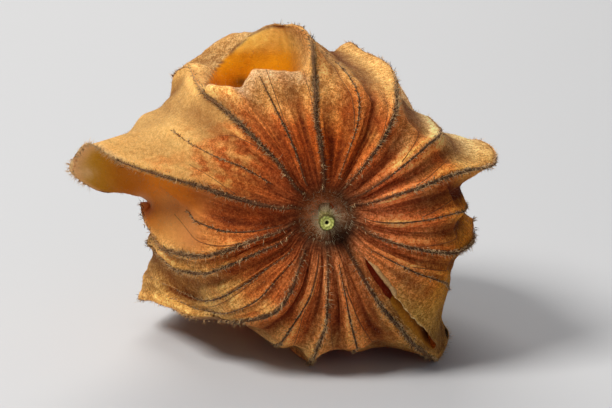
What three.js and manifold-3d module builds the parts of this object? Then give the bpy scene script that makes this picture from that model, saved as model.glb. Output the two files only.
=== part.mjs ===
// Physalis berry in its dried husk, lying on its side with the cut stem towards -Y.
// Millimetres, +Z up. The husk is a thin shell whose ribs are drawn one by one in the table below.
import * as THREE from "three";
import Module from "manifold-3d";

const wasm = await Module();
wasm.setup();
const { Manifold } = wasm;

// Driving dimensions
const UNIT = 0.095; // one unit of reach in the rib table
const LEAN = THREE.MathUtils.degToRad(16); // the table's face leans back from upright by this
const SPREAD = 261; // the face widens by 1 / SPREAD with each millimetre behind it
const WALL = 0.75; // paper of the husk, thickened to what a solid needs
const FLOOR = -16.5; // height of the resting plane, measured from the stem
const SETTLE = 0.35; // paper this near the floor is pressed flat on it
const BERRY_RADIUS = 8.3;
const STEM_RADIUS = 0.8;
const PITH_RADIUS = 0.17;
const GAP = 0.3; // clearance between neighbouring pieces
const MOUTH_RADIUS = 0.9; // the husk's tip doesn't quite close
const PULL = 0.45; // how far a rib's curve swings towards its neighbouring stations
const STEPS = 2; // mesh columns from one line of the husk to the next
const CAVITY_EDGE = 2.1; // mesh size of the inner wall
const BORE_SIDES = 24;
const STEM_SIDES = 20;
const BERRY_SIDES = 44;

const HUSK_COLOUR = 0xb56a2c;
const STEM_COLOUR = 0xb5b860;
const BERRY_COLOUR = 0xd9801f;

// Where the husk's long axis runs: depth behind the collar, then its sideways and upward drift.
const AXIS = [
  [0, 0, 0],
  [10, -0.6, -1],
  [23, -1.2, -2.2],
  [29.5, -1.8, -4.6],
  [35, -2.4, -8],
  [39, -2.8, -10],
];

function axisAt(depth) {
  let i = 1;
  while (i < AXIS.length - 1 && AXIS[i][0] < depth) i++;
  const [from, to] = [AXIS[i - 1], AXIS[i]];
  const part = (depth - from[0]) / (to[0] - from[0]);
  return new THREE.Vector2(
    THREE.MathUtils.lerp(from[1], to[1], part),
    THREE.MathUtils.lerp(from[2], to[2], part),
  );
}

// A point on the stem end: turn about the stem in degrees, reach from it in units on the leaning face,
// and depth behind the collar in millimetres.
function face(turn, reach, depth) {
  const angle = THREE.MathUtils.degToRad(turn);
  const across = reach * UNIT * Math.cos(angle);
  const rise = reach * UNIT * Math.sin(angle);
  const run =
    (depth - rise * Math.sin(LEAN)) /
    (Math.cos(LEAN) + (rise * Math.sin(LEAN)) / SPREAD);
  const grow = 1 + run / SPREAD;
  return new THREE.Vector3(
    across * grow,
    depth,
    rise * grow * Math.cos(LEAN) - run * Math.sin(LEAN),
  );
}

// A point further back: turn about the husk's long axis in degrees, radius and depth in millimetres.
function body(turn, radius, depth) {
  const angle = THREE.MathUtils.degToRad(turn);
  const centre = axisAt(depth);
  return new THREE.Vector3(
    centre.x + radius * Math.cos(angle),
    depth,
    centre.y + radius * Math.sin(angle),
  );
}

// The collar's rings round the stem: radius and depth in millimetres.
const COLLAR = [
  [1.15, 2.2],
  [2.1, 1.5],
  [3.3, 0.85],
];
const COLLAR_CENTRE = [-0.1, 0.25];
// The face's rings: reach, mean depth, and the share of a rib's height that it has there.
const RINGS = [
  [48, 0.6, 0.55],
  [75, 0.7, 0.9],
  [103, 1.3, 1],
  [128, 2.5, 1],
];
// The rings of the tip: depth, the share of the radius at the back ring, and how far the ribs have turned.
const TIP = [
  [29.5, 0.8, 3],
  [35, 0.46, 8],
  [38.6, 0.13, 14],
];
const BACK_DEPTH = 23;

// One rib or vein from the collar to the tip. turns: where it crosses the face's rings. Then its brow, edge,
// turn, flank and lee, where it goes over the shoulder and back, and the turn and radius of its back.
function rib(sharp, height, turns, over, backTurn, backRadius) {
  const points = [];
  for (const [radius, depth] of COLLAR) {
    const angle = THREE.MathUtils.degToRad(turns[0]);
    points.push(
      new THREE.Vector3(
        COLLAR_CENTRE[0] + radius * Math.cos(angle),
        depth,
        COLLAR_CENTRE[1] + radius * Math.sin(angle),
      ),
    );
  }
  RINGS.forEach(([reach, depth, share], i) => {
    points.push(face(turns[i], reach, depth - height * share));
  });
  points.push(...over, body(backTurn, backRadius, BACK_DEPTH));
  for (const [depth, share, drift] of TIP) {
    points.push(body(backTurn + drift, backRadius * share, depth));
  }
  return { sharp, points };
}

// The ribs in order round the stem, and after each the furrow that parts it from the next:
// how deep it is on the face, at the shoulder and along the back. A null furrow is a plain slope.
const RIBS = [
  {
    rib: rib(false, 0.1, [2, 0.3, 2, 4.5],
      [
        face(5, 136, 5), face(8, 139, 8.5), face(12, 136, 12),
        face(16, 135, 15.5), body(4, 13.6, 19),
      ], 3, 13),
    furrow: [0.9, 1.7, 1.2],
  },
  {
    rib: rib(true, 0.5, [25.5, 22.3, 20.8, 21.2],
      [
        face(20.5, 150, 3.2), face(19.4, 175, 6), face(23.5, 182, 9.5),
        face(29, 172, 14), body(17, 15.8, 18.5),
      ], 17, 15),
    furrow: [0.9, 1, 1.2],
  },
  {
    rib: rib(true, 0.2, [38.6, 36.9, 37.1, 37.8],
      [
        face(38, 142, 4.5), face(40.5, 147, 7.5), face(47, 144, 12),
        body(42, 12.8, 15.5), body(48, 13.2, 19),
      ], 54, 13),
    furrow: [0.8, 0.9, 0.9],
  },
  {
    rib: rib(true, 0.4, [60.5, 56.8, 56.3, 58.3],
      [
        face(60.4, 142, 3.8), face(62.9, 152, 6), face(67, 164, 11),
        face(72, 172, 15), face(78, 176, 19),
      ], 78, 14.8),
    furrow: [0.6, 0.7, 1],
  },
  {
    rib: rib(false, 0.1, [75.5, 73.3, 72.8, 75.6],
      [
        face(80.5, 146, 4.2), face(84, 155, 6.6), face(88, 162, 10),
        face(91, 168, 14), body(91, 15.4, 19),
      ], 93, 15),
    furrow: [0.6, 0.5, 0.8],
  },
  {
    rib: rib(true, 0.5, [93.7, 94.4, 95.8, 94.9],
      [
        face(94.8, 145, 3.5), face(94.2, 176, 5.5), face(95.4, 189, 7.2),
        face(98.5, 199, 10), body(103, 17.5, 16.5),
      ], 104, 16.6),
    furrow: null,
  },
  {
    rib: rib(false, -0.4, [106, 104.2, 104.6, 104.4],
      [
        face(104, 157, 4), face(105, 145, 11), face(103.6, 176, 14.4),
        face(104.5, 204, 15.6), body(111, 17.6, 19.4),
      ], 112, 16),
    furrow: null,
  },
  {
    rib: rib(false, 0.1, [117.5, 113.9, 113.7, 114.3],
      [
        face(114.8, 170, 4.2), face(115.2, 147, 12.5), face(113.6, 172, 16),
        face(113, 200, 17), body(118, 17.9, 20.4),
      ], 120, 17.2),
    furrow: null,
  },
  {
    rib: rib(false, -0.3, [124.5, 121.4, 122, 122.6],
      [
        face(123, 161, 4.4), face(123.6, 139, 12.5), face(122, 163, 16),
        face(121.6, 190, 17.4), body(128, 17.9, 20.4),
      ], 130, 16.8),
    furrow: null,
  },
  {
    rib: rib(false, -0.2, [127.8, 125.2, 126.1, 127],
      [
        face(128, 167, 4.4), face(129.8, 177, 7.2), face(128.4, 169, 13),
        face(127, 196, 17), body(134.5, 18.3, 20),
      ], 135.5, 17.4),
    furrow: null,
  },
  {
    rib: rib(true, 0.4, [131, 128.8, 130, 131],
      [
        face(132, 147, 3.6), face(133.2, 176, 6.5), face(132.8, 194, 10.5),
        face(131.7, 210, 16.5), body(141, 18.5, 19.5),
      ], 141, 18),
    furrow: [0.5, 1, 1],
  },
  {
    rib: rib(false, 0.1, [143.6, 145, 146.7, 149.1],
      [
        face(149.8, 158, 4.2), face(149.4, 184, 7.5), face(150, 203, 11.5),
        face(150.3, 213, 15.5), body(158, 18.8, 19.5),
      ], 156, 17),
    furrow: [0.3, 0.5, 0.5],
  },
  {
    rib: rib(true, 0.6, [161.3, 164.2, 164.3, 163.9],
      [
        face(163.9, 173, 3.4), face(163.4, 222, 5), face(161.8, 255, 7.5),
        face(168.5, 261, 11.5), face(172.3, 222, 16.2),
      ], 178, 16.5),
    furrow: [0.8, 0.6, 0.3],
  },
  {
    rib: rib(false, -0.3, [184, 187, 184.7, 179.5],
      [
        face(175.5, 140, 5.5), face(171.5, 157, 8.8), face(172.5, 172, 12.3),
        face(174, 180, 16), body(184, 15, 19.5),
      ], 184, 14),
    furrow: null,
  },
  {
    rib: rib(true, 0.4, [189.7, 193, 195.3, 194.4],
      [
        face(192.2, 148, 4), face(189, 165, 6.2), face(184, 176, 9),
        face(177.6, 184, 12.8), face(173.6, 187, 16.8),
      ], 192, 17),
    furrow: [0.6, 0.7, 0.7],
  },
  {
    rib: rib(true, 0.3, [202.4, 202.9, 203.3, 202.4],
      [
        face(199.3, 148, 4.6), face(195, 162, 6.8), face(190.5, 173, 9.5),
        face(187.8, 178, 13.2), face(186, 180, 17),
      ], 199, 16.5),
    furrow: [0.7, 0.8, 0.8],
  },
  {
    rib: rib(false, 0.1, [218.3, 217.6, 216.9, 215.3],
      [
        face(213, 143, 5.3), face(209.5, 152, 9), face(203, 166, 12),
        face(197.5, 181, 15), face(195, 188, 18.5),
      ], 205, 17.5),
    furrow: null,
  },
  {
    rib: rib(false, 0.1, [228.5, 228.3, 227.8, 223],
      [
        face(219, 143, 5), face(212, 159, 8.3), face(206, 172, 11.3),
        face(201, 186, 14.5), face(198.8, 196, 18.2),
      ], 209.5, 18.5),
    furrow: null,
  },
  {
    rib: rib(true, 0.5, [235.5, 241.5, 239.2, 229],
      [
        face(224.4, 141, 4.2), face(214, 166, 7.5), face(209, 177, 10.5),
        face(204.5, 190, 14), face(201.5, 202, 18),
      ], 214, 19.5),
    furrow: [1, 1, 1],
  },
  {
    rib: rib(false, 0.2, [258, 256.8, 252.4, 249.1],
      [
        face(248.5, 131, 4.8), face(246, 132, 8), body(243, 15, 12),
        body(241, 15.4, 15.5), body(238, 16.6, 19.5),
      ], 236, 17.6),
    furrow: [0.8, 1, 1.2],
  },
  {
    rib: rib(true, 0.4, [271, 270.4, 269.2, 265.2],
      [
        face(263.5, 139, 5), face(262.5, 143, 8), body(261, 16.4, 12),
        body(261, 16, 15.5), body(262, 15.3, 19.5),
      ], 262, 15.3),
    furrow: [0.8, 1, 1.2],
  },
  {
    rib: rib(false, 0.2, [286, 284.4, 283.4, 283.5],
      [
        face(282, 131, 5.2), face(281.5, 131, 8.2), body(281, 14.9, 12),
        body(281, 14.7, 15.5), body(282, 14.6, 19.5),
      ], 283, 14.4),
    furrow: [0.85, 0.9, 1],
  },
  {
    rib: rib(true, 0.5, [305, 303.3, 303.7, 305.3],
      [
        face(306, 148, 3.8), face(307.8, 170, 6.5), face(310, 178, 9.5),
        face(313.6, 174, 13.5), face(317.6, 164, 17.5),
      ], 311, 18.4),
    furrow: null,
  },
  {
    rib: rib(false, 0.1, [318, 312.5, 310.8, 310.2],
      [
        face(310.5, 146, 4.3), face(311, 164, 7.2), face(314, 165, 10.5),
        face(317.5, 160, 14), body(315, 17.5, 18),
      ], 316, 16.5),
    furrow: null,
  },
  {
    rib: rib(false, 0.2, [329, 329.5, 330.8, 332.6],
      [
        face(333, 135, 4.6), face(331.5, 139, 8), body(326, 14.6, 12),
        body(326, 14.2, 15.5), body(327, 14, 19.5),
      ], 327, 13.7),
    furrow: [0.85, 0.9, 1],
  },
  {
    rib: rib(true, 0.4, [345.5, 343.3, 344.5, 346.6],
      [
        face(349.8, 142, 4.5), face(353.5, 146.5, 7), face(357.5, 147.5, 10.5),
        face(1.5, 147, 14.5), body(347, 15.9, 19),
      ], 346, 15.5),
    furrow: [0.85, 0.9, 1],
  },
];

// Stations where the face ends and where the back begins, and the furrow's share of its depth at the tip.
const FACE_FIRST = COLLAR.length;
const FACE_LAST = FACE_FIRST + RINGS.length;
const BACK_FIRST = FACE_LAST + 5;
const BACK_SHARES = [1, 0.8, 0.45, 0];

function furrowBetween(first, second, [onFace, atShoulder, alongBack]) {
  const points = first.points.map((point, i) => {
    const middle = point.clone().lerp(second.points[i], 0.5);
    if (i >= FACE_FIRST && i < FACE_LAST) {
      middle.y += onFace * RINGS[i - FACE_FIRST][2];
    } else if (i >= FACE_LAST) {
      const centre = axisAt(middle.y);
      const outward = new THREE.Vector3(middle.x - centre.x, 0, middle.z - centre.y);
      const sink = i < BACK_FIRST ? atShoulder : alongBack * BACK_SHARES[i - BACK_FIRST];
      middle.addScaledVector(outward.normalize(), -sink);
    }
    return middle;
  });
  return { sharp: false, points };
}

// All the lines of the husk in order round the stem.
const LINES = [];
RIBS.forEach(({ rib: first, furrow }, i) => {
  LINES.push(first);
  if (furrow) LINES.push(furrowBetween(first, RIBS[(i + 1) % RIBS.length].rib, furrow));
});

function hermite(a, b, slopeA, slopeB, t) {
  const [t2, t3] = [t * t, t * t * t];
  return a.clone()
    .multiplyScalar(2 * t3 - 3 * t2 + 1)
    .addScaledVector(slopeA, t3 - 2 * t2 + t)
    .addScaledVector(b, 3 * t2 - 2 * t3)
    .addScaledVector(slopeB, t3 - t2);
}

// Between two lines at one station: bent at the sharp ribs, smooth across the furrows and veins.
function across(index, t, station) {
  const at = (i) => LINES[(i + LINES.length) % LINES.length];
  const point = (i) => at(i).points[station];
  const [a, b] = [point(index), point(index + 1)];
  const chord = b.clone().sub(a);
  const slopeA = at(index).sharp ? chord : b.clone().sub(point(index - 1)).multiplyScalar(0.5);
  const slopeB = at(index + 1).sharp ? chord : point(index + 2).clone().sub(a).multiplyScalar(0.5);
  return hermite(a, b, slopeA, slopeB, t);
}

// Mesh rows from each station to the next along a rib.
const ROW_STEPS = [1, 1, 1, 1, 2, 2, 2, 2, 2, 2, 2, 2, 2, 2, 1];

function alongRib(stations) {
  const rows = [];
  const last = stations.length - 1;
  const slope = (i) => {
    const before = stations[Math.max(i - 1, 0)];
    return stations[Math.min(i + 1, last)].clone().sub(before).multiplyScalar(PULL);
  };
  for (let i = 0; i < last; i++) {
    const [a, b] = [stations[i], stations[i + 1]];
    for (let step = 0; step < ROW_STEPS[i]; step++) {
      rows.push(hermite(a, b, slope(i), slope(i + 1), step / ROW_STEPS[i]));
    }
  }
  rows.push(stations[last]);
  return rows;
}

// The husk's outer skin as columns of points from the collar to the tip, flat where it meets the floor.
function skinColumns() {
  const columns = [];
  LINES.forEach((line, index) => {
    for (let step = 0; step < STEPS; step++) {
      const stations = line.points.map((_, station) => across(index, step / STEPS, station));
      const rows = alongRib(stations);
      for (const point of rows) {
        if (point.z < FLOOR + SETTLE) point.z = FLOOR;
      }
      columns.push(rows);
    }
  });
  return columns;
}

// A closed body from columns of points, each end drawn together in one point.
function closedBody(columns) {
  const [count, rows] = [columns.length, columns[0].length];
  const points = columns.flat();
  const ends = [0, rows - 1].map((row) => {
    const centre = new THREE.Vector3();
    columns.forEach((column) => centre.addScaledVector(column[row], 1 / count));
    return points.push(centre) - 1;
  });
  const triangles = [];
  for (let c = 0; c < count; c++) {
    const next = (c + 1) % count;
    const [here, there] = [c * rows, next * rows];
    triangles.push([ends[0], here, there], [ends[1], there + rows - 1, here + rows - 1]);
    for (let r = 0; r < rows - 1; r++) {
      triangles.push([here + r, here + r + 1, there + r + 1], [here + r, there + r + 1, there + r]);
    }
  }
  return { points, triangles };
}

function solidFrom({ points, triangles }) {
  return new Manifold(
    new wasm.Mesh({
      numProp: 3,
      vertProperties: new Float32Array(points.flatMap((p) => [p.x, p.y, p.z])),
      triVerts: new Uint32Array(triangles.flat()),
    }),
  );
}

// How deep a point lies inside a closed body: its distance from the skin, negative outside.
function depthIn({ points, triangles }) {
  const faces = triangles.map((corners) => {
    const triangle = new THREE.Triangle(...corners.map((i) => points[i]));
    const middle = triangle.getMidpoint(new THREE.Vector3());
    const radius = Math.max(...corners.map((i) => points[i].distanceTo(middle)));
    return { triangle, middle, radius };
  });
  const nearest = new THREE.Vector3();
  return (x, y, z) => {
    const place = new THREE.Vector3(x, y, z);
    let best = Infinity;
    let crossings = 0;
    for (const { triangle, middle, radius } of faces) {
      if (middle.distanceTo(place) - radius < best) {
        triangle.closestPointToPoint(place, nearest);
        best = Math.min(best, nearest.distanceTo(place));
      }
      if (Math.hypot(middle.x - x, middle.z - z) <= radius) crossings += crossesAhead(triangle, x, y, z);
    }
    return crossings % 2 ? best : -best;
  };
}

// Whether the straight line from the point along +Y goes through the triangle.
function crossesAhead({ a, b, c }, x, y, z) {
  const side = (p, q) => (q.x - p.x) * (z - p.z) - (q.z - p.z) * (x - p.x);
  const [u, v, w] = [side(b, c), side(c, a), side(a, b)];
  if (u > 0 !== v > 0 || v > 0 !== w > 0) return 0;
  return (u * a.y + v * b.y + w * c.y) / (u + v + w) > y ? 1 : 0;
}

function geometryOf(solid) {
  const mesh = solid.getMesh();
  const geometry = new THREE.BufferGeometry();
  const stride = mesh.numProp;
  const positions = new Float32Array((mesh.vertProperties.length / stride) * 3);
  for (let i = 0; i < positions.length / 3; i++) {
    for (let k = 0; k < 3; k++) positions[3 * i + k] = mesh.vertProperties[stride * i + k];
  }
  geometry.setAttribute("position", new THREE.BufferAttribute(positions, 3));
  geometry.setIndex(new THREE.BufferAttribute(new Uint32Array(mesh.triVerts), 1));
  return geometry;
}

// A round rod between two points.
function rod(from, to, radius) {
  const along = to.clone().sub(from);
  const length = along.length();
  const turned = new THREE.Quaternion().setFromUnitVectors(new THREE.Vector3(0, 0, 1), along.normalize());
  const placed = new THREE.Matrix4().compose(from, turned, new THREE.Vector3(1, 1, 1));
  return Manifold.cylinder(length, radius, radius, BORE_SIDES).transform(placed.elements);
}

// The tear beside the lower right keel: turn, reach and depth along it, and half its width.
const TEAR = [
  [318, 50, 0.5, 0.08],
  [315.8, 64, 0.6, 0.3],
  [312.4, 79, 0.7, 0.25],
  [311, 95, 1, 0.42],
  [310.6, 104, 1.3, 0.45],
  [310.1, 123, 2.3, 0.42],
  [310.2, 137, 3.3, 0.4],
  [310.4, 152, 5, 0.38],
  [310.5, 162, 6.6, 0.3],
  [310.8, 168, 7.4, 0.12],
];
const TEAR_REACH = 3; // how far the cut goes to each side of the paper

function tearCut() {
  const corners = TEAR.map(([turn, reach, depth, half]) => {
    const angle = THREE.MathUtils.degToRad(turn);
    return [-half, half].flatMap((aside) =>
      [-TEAR_REACH, TEAR_REACH].map((through) => {
        const point = face(turn, reach, depth);
        return [point.x - aside * Math.sin(angle), point.y + through, point.z + aside * Math.cos(angle)];
      }),
    );
  });
  const lengths = corners.slice(1).map((next, i) => Manifold.hull([...corners[i], ...next]));
  return Manifold.union(lengths);
}

const STEM_FOOT = new THREE.Vector3(-0.2, 5.2, 0.1);
const STEM_END = new THREE.Vector3(0, -1.6, 0.46);
const BORE_END = new THREE.Vector3(-0.23, 6.5, 0.03); // inside the hollow, past the stem's foot
const MOUTH_INNER = new THREE.Vector3(-2.3, 33, -7);
const MOUTH_OUTER = new THREE.Vector3(-2.85, 40, -10.5);
const BERRY_CENTRE = [-0.8, 13.8, -1.3];

function husk() {
  const skin = closedBody(skinColumns());
  const outer = solidFrom(skin);
  const depth = depthIn(skin);
  const inside = ([x, y, z]) => depth(x, y, z);
  const hollows = Manifold.levelSet(inside, outer.boundingBox(), CAVITY_EDGE, WALL).decompose();
  const hollow = hollows.reduce((most, one) => (one.volume() > most.volume() ? one : most));
  const bore = rod(STEM_END, BORE_END, STEM_RADIUS + GAP);
  const mouth = rod(MOUTH_INNER, MOUTH_OUTER, MOUTH_RADIUS);
  return Manifold.difference([outer, hollow, bore, mouth, tearCut()]);
}

// The pedicel, cut square, with the pith hole in its end. Its profile is radius and distance from the foot.
const STEM_FOOT_RADIUS = 0.6;
const STEM_WAIST = [0.68, 2];
const STEM_NECK = [0.74, 5];
const CUT_BEVEL = [0.08, 0.25]; // how the cut end's rim is rounded off
const PITH_DEPTH = 0.7;

function stem() {
  const length = STEM_FOOT.distanceTo(STEM_END);
  const profile = [
    [0, 0],
    [STEM_FOOT_RADIUS, 0],
    STEM_WAIST,
    STEM_NECK,
    [STEM_RADIUS, length - CUT_BEVEL[1]],
    [STEM_RADIUS - CUT_BEVEL[0], length],
    [PITH_RADIUS, length],
    [PITH_RADIUS, length - PITH_DEPTH],
    [0, length - PITH_DEPTH],
  ];
  const turned = new THREE.Quaternion().setFromUnitVectors(
    new THREE.Vector3(0, 0, 1),
    STEM_END.clone().sub(STEM_FOOT).normalize(),
  );
  const placed = new THREE.Matrix4().compose(STEM_FOOT, turned, new THREE.Vector3(1, 1, 1));
  return Manifold.revolve([profile], STEM_SIDES).transform(placed.elements);
}

function berry() {
  return Manifold.sphere(BERRY_RADIUS, BERRY_SIDES).translate(BERRY_CENTRE);
}

function matt(color, roughness) {
  return new THREE.MeshStandardMaterial({ color, roughness, metalness: 0 });
}

const pieces = [
  ["husk", husk(), matt(HUSK_COLOUR, 0.9)],
  ["stem", stem(), matt(STEM_COLOUR, 0.8)],
  ["berry", berry(), matt(BERRY_COLOUR, 0.35)],
];

const physalis = new THREE.Group();
physalis.name = "physalis_berry";
for (const [name, solid, material] of pieces) {
  const mesh = new THREE.Mesh(geometryOf(solid), material);
  mesh.name = name;
  physalis.add(mesh);
}
const bounds = new THREE.Box3().setFromObject(physalis);
const middle = bounds.getCenter(new THREE.Vector3());
for (const mesh of physalis.children) {
  mesh.geometry.translate(-middle.x, -middle.y, -bounds.min.z);
}

export default physalis;
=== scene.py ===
"""The dried physalis: papery husk, haired ribs, cut stem and berry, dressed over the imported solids."""
import math

import bpy
import numpy as np
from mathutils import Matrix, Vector


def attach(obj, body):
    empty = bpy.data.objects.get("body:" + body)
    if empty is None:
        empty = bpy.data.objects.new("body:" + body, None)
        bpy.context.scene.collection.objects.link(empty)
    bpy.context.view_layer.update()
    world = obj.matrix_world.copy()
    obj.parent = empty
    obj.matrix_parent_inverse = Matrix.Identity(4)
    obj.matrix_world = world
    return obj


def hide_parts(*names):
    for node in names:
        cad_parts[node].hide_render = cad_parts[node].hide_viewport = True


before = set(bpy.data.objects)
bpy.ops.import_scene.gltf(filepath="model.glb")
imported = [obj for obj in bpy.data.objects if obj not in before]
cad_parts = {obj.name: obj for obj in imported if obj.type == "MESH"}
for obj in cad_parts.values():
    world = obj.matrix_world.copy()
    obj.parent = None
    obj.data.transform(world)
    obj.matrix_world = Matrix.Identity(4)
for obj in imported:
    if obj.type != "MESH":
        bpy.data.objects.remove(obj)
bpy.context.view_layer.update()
rng = np.random.default_rng(7)

# The husk's lines, as in the part's source. Lengths are millimetres from the middle of the stem end.
UNIT = 0.095  # one pixel of the photo
LEAN = math.radians(16)  # how far the view looks down
DISTANCE = 261.0  # from the camera to the stem end
PHOTO_SIZE = (612, 408)
STEM_PIXEL = (327, 223)
FLOOR = -16.5
FLATTEN = 0.21  # skin lower than this above the floor lies on it
CLEAR = 0.02  # the gap kept above the floor
SHIFT = np.array([4.4545, -18.4785, 16.5])  # from the stem's frame to the part's frame
AXIS = np.array([  # depth, side and height of the body's axis
    (0, 0, 0), (10, -0.6, -1), (23, -1.2, -2.2), (29.5, -1.8, -4.6), (35, -2.4, -8), (39, -2.8, -10),
])


def axis_at(depth):
    return np.array([np.interp(depth, AXIS[:, 0], AXIS[:, 1]), np.interp(depth, AXIS[:, 0], AXIS[:, 2])])


def face(turn, reach, depth):
    """A point at a turn and reach round the stem in the photo, in degrees and units, at a depth."""
    angle = math.radians(turn)
    side, rise = reach * UNIT * math.cos(angle), reach * UNIT * math.sin(angle)
    run = (depth - rise * math.sin(LEAN)) / (math.cos(LEAN) + rise * math.sin(LEAN) / DISTANCE)
    grow = 1 + run / DISTANCE
    return np.array([side * grow, depth, rise * grow * math.cos(LEAN) - run * math.sin(LEAN)])


def body(turn, radius, depth):
    """A point round the body's axis."""
    angle = math.radians(turn)
    centre = axis_at(depth)
    return np.array([centre[0] + radius * math.cos(angle), depth, centre[1] + radius * math.sin(angle)])


COLLAR = ((1.15, 2.2), (2.1, 1.5), (3.3, 0.85))  # radius and depth
COLLAR_CENTRE = (-0.1, 0.25)
RINGS = ((48, 0.6, 0.55), (75, 0.7, 0.9), (103, 1.3, 1), (128, 2.5, 1))  # reach, depth, share of the height
TIP = ((29.5, 0.8, 3), (35, 0.46, 8), (38.6, 0.13, 14))  # depth, share of the back radius, turn
BACK_DEPTH = 23
FACE_FIRST, FACE_LAST, BACK_FIRST = 3, 7, 12
BACK_SHARES = (1, 0.8, 0.45, 0)
STATION_SLOPE = 0.45
MIX_X, MIX_Y, MIX_SEED, MIX_SCALE = 127.1, 311.7, 74.7, 43758.5453  # what makes the noise random

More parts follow.
